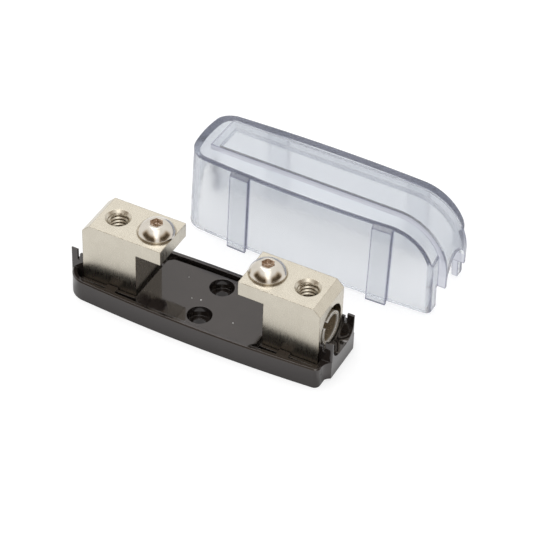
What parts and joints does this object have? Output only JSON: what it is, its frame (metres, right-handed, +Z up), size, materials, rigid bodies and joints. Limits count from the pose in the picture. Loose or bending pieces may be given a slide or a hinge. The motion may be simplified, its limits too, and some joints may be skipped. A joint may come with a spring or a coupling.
{
  "type": "inline fuse holder",
  "caption": "Inline holder for a bolt-down strip fuse: black tray with two nickel terminal blocks and a clear hooded cover lifted off beside it.",
  "frame": {"origin": "middle of the base tray's underside", "axes": "+X along the holder towards the end that the cover's hood belongs to, +Y across it towards the lifted cover, +Z up"},
  "size_m": [0.0839, 0.0599, 0.0252],
  "materials": {
    "black_plastic": "gloss moulded",
    "clear_plastic": "clear moulded, faint blue-grey",
    "nickel_block": "satin nickel plate",
    "polished_nickel": "polished nickel plate",
    "zinc_steel": "zinc plate"
  },
  "bodies": {
    "holder": {"base": "black_plastic", "terminal_block_right": "nickel_block", "terminal_block_left": "nickel_block", "reducer_sleeve_right": "polished_nickel", "reducer_sleeve_left": "polished_nickel", "block_screw_right": "zinc_steel", "block_screw_left": "zinc_steel"},
    "fuse_screw_right": {"fuse_screw_right": "polished_nickel"},
    "fuse_screw_left": {"fuse_screw_left": "polished_nickel"},
    "cover": {"cover": "clear_plastic"}
  },
  "joints": [
    {"name": "cover_lift", "type": "slide", "parent": "holder", "child": "cover", "axis": [0, 0, 1], "range_m": [0, 0.03]},
    {"name": "fuse_screw_right_turn", "type": "hinge", "parent": "holder", "child": "fuse_screw_right", "pos_m": [0.015, 0, 0.0205], "axis": [0, 0, 1], "continuous": true},
    {"name": "fuse_screw_left_turn", "type": "hinge", "parent": "holder", "child": "fuse_screw_left", "pos_m": [-0.015, 0, 0.0205], "axis": [0, 0, 1], "continuous": true}
  ]
}
